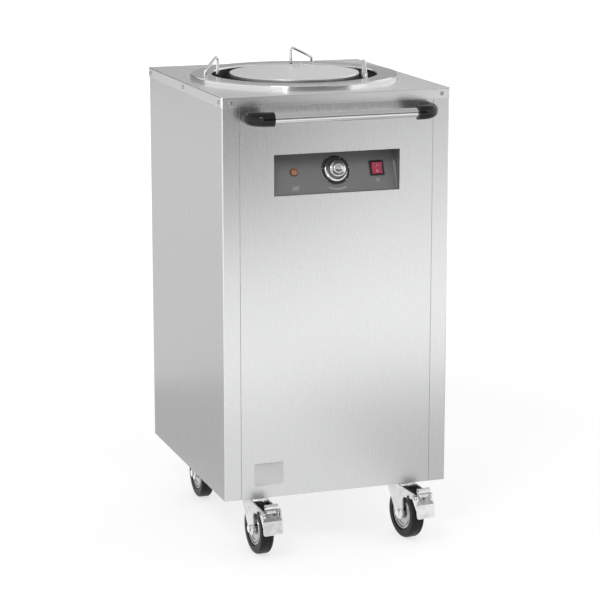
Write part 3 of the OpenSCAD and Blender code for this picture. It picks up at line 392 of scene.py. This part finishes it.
# CAD nodes that look other than the rest of their slot
own_finish = {
    "top_panel": "top_stainless",
    "handle_tube": "grip_steel",
    "carrier_disc": "disc_steel",
}


def dress_frame():
    """Gives every CAD node its own finish, or the one called after the record's slot that it names."""
    for name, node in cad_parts.items():
        finish = own_finish.get(name) or plain_name(node.material_slots[0].material)
        for slot in node.material_slots:
            slot.link = "OBJECT"
            slot.material = finishes[finish]


# ---------- places ----------


def shift(x, y, z):
    """A move in millimetres."""
    return Matrix.Translation((x * mm, y * mm, z * mm))


def turn(angle, axis):
    """A turn in degrees."""
    return Matrix.Rotation(math.radians(angle), 4, axis)


def on_fascia(x, out=0.0):
    """A place on the fascia's middle line, across it and out of its face, where Y runs up its slope."""
    slope = Matrix.Rotation(math.pi / 2 - fascia_tilt, 4, "X")
    return Matrix.Translation(fascia_centre) @ slope @ shift(x, 0, out)


# ---------- making pieces ----------


def merge(work, distance=0.0001 * mm):
    """Joins the points that share a place."""
    bmesh.ops.remove_doubles(work, verts=work.verts, dist=distance)


def to_object(work, name, material):
    """Turns a bmesh into an object of that material."""
    mesh = bpy.data.meshes.new(name)
    work.to_mesh(mesh)
    work.free()
    mesh.materials.append(material)
    made = bpy.data.objects.new(name, mesh)
    bpy.context.scene.collection.objects.link(made)
    return made


def shaped(work, name, finish, place=origin, crease=35):
    """Turns a bmesh into an object: placed, facing outwards, and smooth up to the crease angle."""
    bmesh.ops.transform(work, matrix=place, verts=work.verts)
    merge(work)
    bmesh.ops.recalc_face_normals(work, faces=work.faces)
    for edge in work.edges:
        edge.smooth = edge.calc_face_angle(0) < math.radians(crease)
    for face in work.faces:
        face.smooth = True
    return to_object(work, name, finishes[finish])


def settle(work, name, finish, body, place=origin, crease=35):
    """Makes a piece that rides on its body."""
    piece = shaped(work, name, finish, place, crease)
    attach(piece, body)
    return piece


def turned(profile, steps=96):
    """Spins an (r, z) profile, in millimetres, round Z."""
    work = bmesh.new()
    points = [work.verts.new((r * mm, 0, z * mm)) for r, z in profile]
    edges = [work.edges.new(pair) for pair in zip(points, points[1:])]
    bmesh.ops.spin(
        work,
        geom=points + edges,
        cent=(0, 0, 0),
        axis=(0, 0, 1),
        angle=2 * math.pi,
        steps=steps,
        use_merge=True,
    )
    merge(work)
    return work


def block(work, size, place=origin):
    """A box of that size in millimetres, put in place by a matrix."""
    made = bmesh.ops.create_cube(work, size=1.0)["verts"]
    bmesh.ops.scale(work, vec=[s * mm for s in size], verts=made)
    bmesh.ops.transform(work, matrix=place, verts=made)


def rod(work, radius, bottom, top, segments):
    """A capped rod along Z, in millimetres."""
    made = bmesh.ops.create_cone(
        work,
        cap_ends=True,
        segments=segments,
        radius1=radius * mm,
        radius2=radius * mm,
        depth=(top - bottom) * mm,
    )["verts"]
    bmesh.ops.translate(work, vec=(0, 0, (bottom + top) / 2 * mm), verts=made)


def round_off(work, edges, radius, segments):
    """Rounds edges to a radius in millimetres."""
    bmesh.ops.bevel(
        work,
        geom=edges,
        offset=radius * mm,
        segments=segments,
        profile=0.5,
        affect="EDGES",
        material=-1,
    )


def upright(work):
    """The edges that join the lower face of a thin plate to its upper one."""
    return [e for e in work.edges if abs(e.verts[0].co.z - e.verts[1].co.z) > 0.5 * mm]


def join(target, source, place):
    """Adds a bmesh to another, put in place."""
    bmesh.ops.transform(source, matrix=place, verts=source.verts)
    mesh = bpy.data.meshes.new("part")
    source.to_mesh(mesh)
    source.free()
    target.from_mesh(mesh)
    bpy.data.meshes.remove(mesh)


# ---------- badge plate ----------


def make_badge():
    """The bare plate low on the front panel, with a slightly raised face."""
    width, height, thick = 57, 43, 0.7
    middle_x, middle_z = -135.5 * mm, 162 * mm
    border, raised, middle_out = 0.5 * mm, 0.12 * mm, 0.3 * mm
    work = bmesh.new()
    block(work, (width, height, thick))
    round_off(work, upright(work), radius=1.5, segments=4)
    face = max(work.faces, key=lambda f: f.calc_center_median().z)
    bmesh.ops.inset_region(work, faces=[face], thickness=border, depth=0.0)
    bmesh.ops.translate(work, vec=(0, 0, raised), verts=face.verts)
    place = Matrix.Translation((middle_x, front_face - middle_out, middle_z)) @ turn(90, "X")
    settle(work, "badge_plate", "badge_metal", "cabinet", place)


# ---------- printing on the controls ----------


def flat_text(words, size):
    """Lettering of that size in millimetres, as a bmesh in the XY plane, centred."""
    curve = bpy.data.curves.new("numeral", "FONT")
    curve.body = words
    curve.size = size * mm
    curve.align_x = "CENTER"
    curve.align_y = "CENTER"
    curve.resolution_u = 3
    holder = bpy.data.objects.new("numeral", curve)
    bpy.context.scene.collection.objects.link(holder)
    bpy.context.view_layer.update()
    mesh = bpy.data.meshes.new_from_object(holder)
    bpy.data.objects.remove(holder)
    work = bmesh.new()
    work.from_mesh(mesh)
    bpy.data.meshes.remove(mesh)
    return work


def arc_bar(work, radius, width, start, end, steps=24):
    """A flat curved bar in the XY plane, from one angle to the other."""
    inner = work.verts.new(Vector((radius - width / 2, 0, 0)) * mm)
    outer = work.verts.new(Vector((radius + width / 2, 0, 0)) * mm)
    edge = work.edges.new((inner, outer))
    to_start = Matrix.Rotation(math.radians(start), 3, "Z")
    bmesh.ops.rotate(work, verts=[inner, outer], cent=(0, 0, 0), matrix=to_start)
    bmesh.ops.spin(
        work,
        geom=[inner, outer, edge],
        cent=(0, 0, 0),
        axis=(0, 0, 1),
        angle=math.radians(end - start),
        steps=steps,
    )


def flat_bar(work, width, height, place=origin):
    """A flat straight bar in the XY plane, put in place by a matrix."""
    made = bmesh.ops.create_grid(work, x_segments=1, y_segments=1, size=0.5)["verts"]
    bmesh.ops.scale(work, vec=(width * mm, height * mm, 1), verts=made)
    bmesh.ops.transform(work, matrix=place, verts=made)


def ink_down(work, name, body, place, thick=0.05):
    """Gives flat printing a hair of thickness and lays it on its surface."""
    merge(work, 0.001 * mm)
    raised = bmesh.ops.extrude_face_region(work, geom=list(work.faces))
    top = [v for v in raised["geom"] if isinstance(v, bmesh.types.BMVert)]
    bmesh.ops.translate(work, vec=(0, 0, thick * mm), verts=top)
    settle(work, name, "white_ink", body, place)


def make_dial_marks():
    """Strokes round the knob, with a longer one and an even number at every fourth."""
    start, sweep, numbered_gaps, strokes_a_gap = 225, 270, 5, 4
    stroke_r, stroke_width, short, long = 23.6, 0.35, 1.0, 1.5
    number_r, number_size = 26.7, 3.4
    dial_face = 1.2
    work = bmesh.new()
    gaps = numbered_gaps * strokes_a_gap
    for stroke in range(gaps + 1):
        angle = start - sweep * stroke / gaps
        length = short if stroke % strokes_a_gap else long
        flat_bar(work, length, stroke_width, turn(angle, "Z") @ shift(stroke_r + length / 2, 0, 0))
    for number in range(numbered_gaps + 1):
        angle = start - sweep * number / numbered_gaps
        digits = flat_text(str(number * 2), number_size)
        join(work, digits, turn(angle - 90, "Z") @ shift(0, number_r, 0))
    ink_down(work, "dial_marks", "cabinet", on_fascia(knob_x, dial_face))


def make_dial_rim():
    """The bright rolled rim round the dial plate."""
    work = turned([(28.5, 0.05), (28.5, 1.4), (28.2, 1.7), (27.9, 1.7), (27.75, 1.45), (27.75, 1.22)])
    settle(work, "dial_rim", "knob_metal", "cabinet", on_fascia(knob_x))


def draw_heat_waves(work):
    """Three upright waves under the lamp."""
    bend_r, spacing, line, down = 1.9, 4.4, 0.8, 31
    for column in (-spacing, 0, spacing):
        for bend_y, start in ((bend_r, -90), (-bend_r, 90)):
            bend = bmesh.new()
            arc_bar(bend, bend_r, line, start, start + 180)
            join(work, bend, shift(lamp_x + column, bend_y - down, 0))


def draw_wedge(work):
    """An arc under the dial, with bars that grow clockwise as the heat does."""
    radius, line, start, sweep, bars = 36, 0.8, 243, 54, 9
    first_length, growth = 1.0, 0.3
    arc = bmesh.new()
    arc_bar(arc, radius, line, start, start + sweep, steps=40)
    join(work, arc, shift(knob_x, 0, 0))
    for bar in range(bars):
        length = first_length + growth * bar
        angle = start + sweep * bar / (bars - 1)
        outwards = turn(angle, "Z") @ shift(radius + length / 2, 0, 0)
        flat_bar(work, length, line, shift(knob_x, 0, 0) @ outwards)


def draw_power_sign(work):
    """An open ring with a bar in its gap, under the switch."""
    radius, line, down = 2.7, 0.75, 23
    ring_start, ring_end = 120, 420
    bar_length, bar_up = 3.2, 2.1
    sign = bmesh.new()
    arc_bar(sign, radius, line, ring_start, ring_end)
    flat_bar(sign, line, bar_length, shift(0, bar_up, 0))
    join(work, sign, shift(switch_x, -down, 0))


def make_fascia_marks():
    """The generic signs printed under the three controls."""
    work = bmesh.new()
    draw_heat_waves(work)
    draw_wedge(work)
    draw_power_sign(work)
    ink_down(work, "fascia_marks", "cabinet", on_fascia(0))


def make_fascia_trim():
    """The fascia sheet's bare folded edges, which catch the light where it meets the recess's ends."""
    width, length, thick = 1.3, 82, 1.0
    from_middle, out = 123.2, 0.45
    for name, side in (("trim_left", -1), ("trim_right", 1)):
        work = bmesh.new()
        block(work, (width, length, thick), shift(side * from_middle, 0, out))
        round_off(work, list(work.edges), radius=0.3, segments=3)
        settle(work, name, "knob_metal", "cabinet", on_fascia(0))


def make_rocker_marks():
    """The bar and ring on the two halves of the rocker, which slope up to its ends."""
    rest_tilt, pivot_out = 8, -3
    half_length, half_rise, half_face = 10.8, 2.2, 6.5
    line, bar_length, ring_r = 0.7, 4.2, 1.9
    slope = math.degrees(math.atan2(half_rise, half_length))
    rocker = on_fascia(switch_x, pivot_out) @ turn(rest_tilt, "X")
    bar = bmesh.new()
    flat_bar(bar, line, bar_length)
    ring = bmesh.new()
    arc_bar(ring, ring_r, line, 0, 360, steps=32)
    for name, side, mark in (("rocker_on_mark", 1, bar), ("rocker_off_mark", -1, ring)):
        place = rocker @ shift(0, side * half_length / 2, half_face) @ turn(slope * side, "X")
        ink_down(mark, name, "rocker", place, 0.12)


# ---------- thermostat knob ----------

# The gap from the fascia to the knob's flange, in millimetres
knob_out = 1.5


def make_knob():
    """A spun metal knob: a flange, a finely fluted grip, a hollowed shoulder and a domed button."""
    flutes, flute_depth = 72, 0.02
    grip_r, grip_z = (16, 19.4), (5, 14)
    profile = [
        (0.0, 21.2), (3.0, 21.15), (5.3, 20.95), (7.2, 20.5), (8.8, 20.0), (9.6, 19.55), (10.2, 18.8),
        (10.5, 17.8), (10.5, 17.3), (10.7, 16.9), (11.2, 16.7), (12.6, 16.3), (14.0, 16.0), (15.2, 15.4),
        (16.1, 14.5), (16.7, 13.2), (17.3, 10.4), (18.0, 8.0), (18.7, 6.2), (19.3, 5.1), (20.0, 4.2),
        (21.2, 3.5), (21.9, 3.2), (22.4, 2.7), (22.5, 2.2), (22.5, 1.2), (22.3, 0.6), (21.9, 0.2),
        (21.3, 0.0), (4.0, 0.0), (0.0, 0.0),
    ]
    work = turned(profile, steps=2 * flutes)
    # Every other column of the grip is drawn in
    for vert in work.verts:
        r = math.hypot(vert.co.x, vert.co.y)
        if grip_r[0] * mm < r < grip_r[1] * mm and grip_z[0] * mm < vert.co.z < grip_z[1] * mm:
            angle = math.atan2(vert.co.y, vert.co.x)
            draw = 1 - flute_depth / 2 * (1 + math.cos(angle * flutes))
            vert.co.x *= draw
            vert.co.y *= draw
    knob = settle(work, "knob_shell", "knob_metal", "knob", on_fascia(knob_x, knob_out), crease=40)
    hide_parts("thermostat_knob")


def make_knob_pointer():
    """The black line let into the knob's shoulder."""
    width, length, thick = 1.1, 4.6, 0.5
    from_axis, height, lean = 14.0, 15.95, -14
    work = bmesh.new()
    block(work, (width, length, thick), shift(0, from_axis, height) @ turn(lean, "X"))
    round_off(work, list(work.edges), radius=0.15, segments=2)
    settle(work, "knob_pointer", "black_dial", "knob", on_fascia(knob_x, knob_out))


# ---------- brake pedals ----------

# The corners whose castors have a brake
braked = ("fl", "fr")

# The pedals, in millimetres: the height of their pivot and its place before the axle, and from that pivot
# the (y, z) of the top and the foot of their steep tread
pivot_height = 97.5
pivot_ahead = 59
tread_top = (-3, 9.8)
tread_foot = (-12, -14)


def pedal_pivot(corner):
    """The middle of a pedal's pivot pin."""
    low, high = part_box("castor_%s_axle" % corner)
    middle_x, axle_y = (low[0] + high[0]) / 2, (low[1] + high[1]) / 2
    return Matrix.Translation((middle_x, axle_y - pivot_ahead * mm, pivot_height * mm))


def make_pedal_caps():
    """Black push-on caps over the ends of the pedals' pins."""
    pin_end = 21.1
    profile = [(0, 1.6), (2.4, 1.5), (4.0, 1.0), (4.8, 0.1), (4.9, -1.2), (0, -1.2)]
    for corner in braked:
        for end, side in (("left", -1), ("right", 1)):
            place = pedal_pivot(corner) @ shift(side * pin_end, 0, 0) @ turn(side * 90, "Y")
            name = "pedal_cap_%s_%s" % (corner, end)
            settle(turned(profile, steps=40), name, "black_plastic", "swivel_%s" % corner, place)


def make_pedal_slots():
    """The dark slots pressed in each pedal's steep tread, two at either side."""
    length, height, thick = 5.6, 2.6, 0.8
    columns, rows, out = (-8.4, 8.4), (-7.5, -13.5), 0.85
    lean = math.degrees(math.atan2(tread_top[1] - tread_foot[1], tread_top[0] - tread_foot[0]))
    for corner in braked:
        work = bmesh.new()
        for across in columns:
            for up in rows:
                slot = bmesh.new()
                block(slot, (length, height, thick))
                round_off(slot, upright(slot), radius=1.2, segments=4)
                join(work, slot, turn(lean, "X") @ shift(across, up, out))
        place = pedal_pivot(corner) @ shift(0, *tread_top)
        settle(work, "pedal_slots_%s" % corner, "black_plastic", "pedal_%s" % corner, place)


# ---------- screws ----------


def screw_head():
    """The mesh of a pan head with a cross recess, on the origin."""
    profile = [(0, 1.98), (1.6, 1.92), (2.9, 1.58), (3.7, 0.95), (4.0, 0.3), (4.0, -0.4), (0, -0.4)]
    recess_span, recess_width, cut_height, cut_middle = 4.4, 0.95, 2.4, 2.15
    head = shaped(turned(profile, steps=48), "screw_blank", "screw_steel")
    cross = bmesh.new()
    for angle in (0, 90):
        place = turn(angle, "Z") @ shift(0, 0, cut_middle)
        block(cross, (recess_span, recess_width, cut_height), place)
    cutter = shaped(cross, "screw_cross", "screw_steel")
    cut = head.modifiers.new("cut", "BOOLEAN")
    cut.operation = "DIFFERENCE"
    cut.object = cutter
    cut.solver = "EXACT"
    cut.use_self = True
    bpy.context.view_layer.update()
    cut_head = head.evaluated_get(bpy.context.evaluated_depsgraph_get())
    shape = bpy.data.meshes.new_from_object(cut_head)
    for spent in (head, cutter):
        bpy.data.objects.remove(spent)
    return shape


def screw_places():
    """The CAD screws' places round the top panel's skirt, each head turned by its own angle."""
    half_width, half_depth = 225 * mm, 250 * mm
    level = top_level - 11 * mm
    side_rows, end_columns = (-235, 0, 235), (-207, 207)
    for side in (-1, 1):
        for row, along in enumerate(side_rows):
            place = Matrix.Translation((side * half_width, cabinet_y + along * mm, level))
            yield place @ turn(side * 90, "Y") @ turn(23 * row + 11 * side, "Z")
    for across in end_columns:
        for end in (-1, 1):
            place = Matrix.Translation((across * mm, cabinet_y + end * half_depth, level))
            yield place @ turn(-end * 90, "X") @ turn(17 * end + across / 9, "Z")


def make_screws():
    """A cross-recessed head on each of the CAD screws' places."""
    shape = screw_head()
    work = bmesh.new()
    for place in screw_places():
        one = bmesh.new()
        one.from_mesh(shape)
        join(work, one, place)
    bpy.data.meshes.remove(shape)
    heads = settle(work, "screw_heads", "screw_steel", "cabinet")
    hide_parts("panel_screws")


# ---------- lift springs ----------


def wind_coil(work, bottom, top):
    """A coil of wire round Z, from one height to the other in millimetres."""
    wire_r, coil_r, turns, steps = 0.9, 5, 30, 16
    rise = (top - bottom) / turns
    ring = bmesh.ops.create_circle(work, segments=6, radius=wire_r * mm, cap_ends=False)["verts"]
    bmesh.ops.transform(work, matrix=turn(90, "X"), verts=ring)
    bmesh.ops.translate(work, vec=(coil_r * mm, 0, 0), verts=ring)
    bmesh.ops.spin(
        work,
        geom=list(work.verts) + list(work.edges),
        cent=(0, 0, 0),
        axis=(0, 0, 1),
        dvec=(0, 0, rise / steps * mm),
        angle=turns * 2 * math.pi,
        steps=turns * steps,
    )
    bmesh.ops.holes_fill(work, edges=[e for e in work.edges if e.is_boundary], sides=8)
    bmesh.ops.translate(work, vec=(0, 0, bottom * mm), verts=work.verts)


def wound_spring(length):
    """A tension spring that stands on the origin: a coil, and at each end a rod, its arm and a button."""
    coil_end, rod_length, rod_r = 13, 13.5, 1
    arm_length, arm_thick, arm_x = 5.6, 1.6, 2.6
    button_r, button_height = 3, 1.5
    work = bmesh.new()
    wind_coil(work, coil_end, length - coil_end)
    lower_arm = rod_length - arm_thick / 2
    for bottom, arm_z in ((0, lower_arm), (length - rod_length, length - lower_arm)):
        rod(work, rod_r, bottom, bottom + rod_length, segments=10)
        block(work, (arm_length, arm_thick, arm_thick), shift(arm_x, 0, arm_z))
    for bottom in (0, length - button_height):
        rod(work, button_r, bottom, bottom + button_height, segments=20)
    return work


def make_springs():
    """Three pairs of wound springs round the well, made at one length; the real ones stretch as the
    carrier goes down.
    """
    from_axis, from_slot, hook = 178, 22, 3 * mm
    box_low, box_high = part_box("lift_springs")
    low, high = box_low[2], box_high[2]
    for angle in (0, 120, 240):
        for letter, side in (("a", -1), ("b", 1)):
            foot = Matrix.Translation((0, cabinet_y, low))
            place = foot @ turn(angle, "Z") @ shift(from_axis, side * from_slot, 0)
            name = "lift_spring_%d_%s" % (angle, letter)
            spring = shaped(wound_spring((high - low) / mm), name, "screw_steel", place)
            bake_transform(spring)
            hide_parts("lift_springs")


# ---------- stage ----------


def emitter(name, centre, size, power):
    """A soft box that faces the middle of the cabinet."""
    aim = Vector((0, 0, 0.45))
    data = bpy.data.lights.new(name, "AREA")
    data.shape = "RECTANGLE"
    data.size, data.size_y = size
    data.energy = power
    lamp = bpy.data.objects.new(name, data)
    lamp.location = centre
    lamp.rotation_euler = (aim - Vector(centre)).to_track_quat("-Z", "Y").to_euler()
    bpy.context.scene.collection.objects.link(lamp)


def card(name, centre, size, level, aim):
    """A grey studio card out of the picture, which gives the steel something to reflect."""
    work = bmesh.new()
    sheet = bmesh.ops.create_grid(work, x_segments=1, y_segments=1, size=0.5)["verts"]
    bmesh.ops.scale(work, vec=(*size, 1), verts=sheet)
    look = (Vector(aim) - Vector(centre)).to_track_quat("Z", "Y").to_matrix().to_4x4()
    bmesh.ops.transform(work, matrix=Matrix.Translation(centre) @ look, verts=sheet)
    matt = Finish(name, (0, 0, 0), 1.0, Specular_IOR_Level=0.0, Emission_Strength=level)
    matt.set("Emission Color", (1, 1, 1, 1))
    made = to_object(work, name, matt.material)
    made.visible_camera = False
    made.visible_shadow = False
    made.visible_diffuse = False


def lying(name, across, along, level):
    """A card laid face up on the floor, from its reach across and along in metres. Only the steel sees it,
    as painted floor shade where its level is low and painted floor light where it is high.
    """
    x, y = sum(across) / 2, sum(along) / 2
    card(name, (x, y, 0.02), (across[1] - across[0], along[1] - along[0]), level, (x, y, 5))


def standing(name, across, height, place, level):
    """A card that stands across the view and faces the cabinet, from its reach across and up in metres."""
    x, z = sum(across) / 2, sum(height) / 2
    card(name, (x, place, z), (across[1] - across[0], height[1] - height[0]), level, (x, 0, z))


def make_floor():
    """A plain pale floor that keeps the cabinet's shadow and meets the white background."""
    near, horizon = 0.9, 2.6
    near_glow, far_glow = 0.68, 0.3
    half_width = 30
    work = bmesh.new()
    bmesh.ops.create_grid(work, x_segments=1, y_segments=1, size=half_width)
    pale = Finish("floor_pale", (0.5, 0.5, 0.5), 0.8, Specular_IOR_Level=0.0)
    away = pale.node(
        "ShaderNodeVectorMath", {"operation": "LENGTH"}, {0: pale.spot((1, 0.8, 1))}, output="Value"
    )
    far = pale.ramp(away, near, horizon)
    level = pale.clear_rays() * (far * far_glow + near_glow)
    glow = pale.node("ShaderNodeEmission", {}, {"Color": (1, 1, 1, 1), "Strength": level})
    dim = pale.node("ShaderNodeBsdfDiffuse", {}, {"Color": (0.3, 0.3, 0.3, 1)})
    lit = Signal(pale, pale.shader.outputs[0])
    matt = pale.node("ShaderNodeMixShader", {}, {0: far * 0.7, 1: lit, 2: dim})
    both = pale.node("ShaderNodeAddShader", {}, {0: glow, 1: matt})
    pale.feed(pale.first("OUTPUT_MATERIAL").inputs["Surface"], both)
    to_object(work, "floor", pale.material)


def set_world():
    """White all round to the camera and to what mirrors it, and a plain soft level for the rest."""
    plain = 0.55
    world = bpy.data.worlds.new("studio")
    world.use_nodes = True
    sky = Nodes(world.node_tree)
    background = sky.first("BACKGROUND")
    sky.feed(background.inputs["Color"], (1, 1, 1, 1))
    sky.feed(background.inputs["Strength"], plain + sky.clear_rays() * (1 - plain))
    bpy.context.scene.world = world


def light_stage():
    """The lamps, and the cards that the steel mirrors."""
    emitter("key", (-2.0, -2.6, 3.2), (0.9, 0.9), 22)
    emitter("front", (-1.8, -4.2, 0.9), (1.0, 1.0), 12)
    emitter("fill", (3.0, -2.4, 2.4), (2.0, 2.0), 5)
    emitter("back", (2.2, 3.0, 3.0), (2.6, 1.6), 7)
    # From the photograph's side, the front panel mirrors these six
    # The three lying cards are painted floor shade and light, seen only in the steel
    lying("near_front_left", (-0.6, 0.25), (-1.3, -0.35), 0.88)
    lying("near_front_right", (0.25, 2.0), (-1.3, -0.35), 0.6)
    lying("far_front", (-0.6, 2.6), (-3.3, -1.3), 1.35)
    standing("low_front_left", (-1.6, 1.0), (0.0, 0.72), -3.3, 0.06)
    standing("low_front_right", (1.0, 3.2), (0.0, 0.72), -3.3, 0.8)
    standing("high_front", (-1.6, 3.2), (0.72, 2.2), -3.32, 0.16)
    # The left side mirrors these four, and the top the wall
    # The two lying cards are painted floor shade and light, seen only in the steel
    lying("near_left", (-1.6, -0.28), (-0.1, 1.0), 0.51)
    lying("far_left", (-2.4, -0.28), (1.0, 3.2), 0.68)
    standing("low_back_left", (-3.4, 0.3), (0.0, 0.6), 3.2, 0.7)
    standing("high_back_left", (-3.4, 0.3), (0.6, 2.0), 3.2, 0.24)
    card("back_wall", (2.0, 6.0, 2.0), (9, 1.9), 0.39, (2.0, 0, 1.2))
    # These give the other sides and the upper faces something to mirror
    # The lying cards among these are painted floor shade and light, seen only in the steel
    lying("near_right", (0.28, 1.6), (-0.3, 1.0), 0.5)
    lying("far_right", (0.28, 3.4), (1.0, 3.2), 0.66)
    lying("far_side", (1.6, 4.4), (-0.3, 1.0), 0.74)
    standing("low_back_right", (0.4, 3.6), (0.0, 0.6), 3.25, 0.55)
    lying("behind", (-0.28, 0.28), (0.36, 2.6), 0.62)
    card("ceiling", (0, 0, 3.4), (9, 9), 0.55, (0, 0, 0))


set_camera()
dress_frame()
make_badge()
make_dial_marks()
make_dial_rim()
make_fascia_marks()
make_fascia_trim()
make_rocker_marks()
make_pedal_caps()
make_pedal_slots()
make_knob()
make_knob_pointer()
make_screws()
make_springs()
make_floor()
set_world()
light_stage()

bpy.context.scene.view_settings.view_transform = "Standard"
